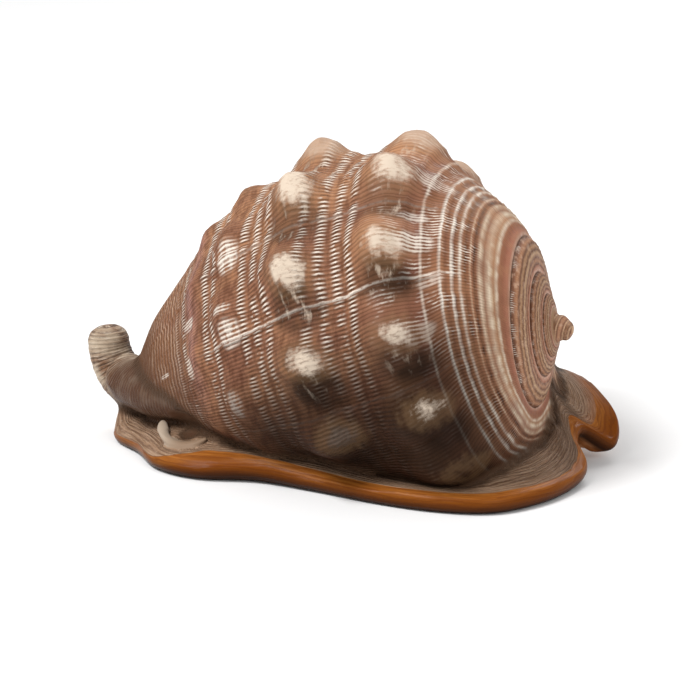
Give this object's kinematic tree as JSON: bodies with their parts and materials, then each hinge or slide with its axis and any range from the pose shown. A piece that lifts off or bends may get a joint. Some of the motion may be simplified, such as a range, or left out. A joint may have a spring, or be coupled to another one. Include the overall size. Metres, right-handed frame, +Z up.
{
  "type": "helmet shell",
  "caption": "Large knobbed sea shell lying on its toothed aperture, with a low spire, a wide shield and lip, and a recurved siphonal canal.",
  "frame": {"origin": "bottom centre of the shell's box, on the surface that it lies on", "axes": "+X towards the spire along the shell's length, +Y towards the outer lip, +Z up"},
  "size_m": [0.1584, 0.1174, 0.0922],
  "materials": {
    "shell": "brown shell with pale dashes and cream knobs, satin on the whorls and glossy orange on the shield and lip"
  },
  "bodies": {
    "root": {"shell": "shell"}
  },
  "joints": []
}
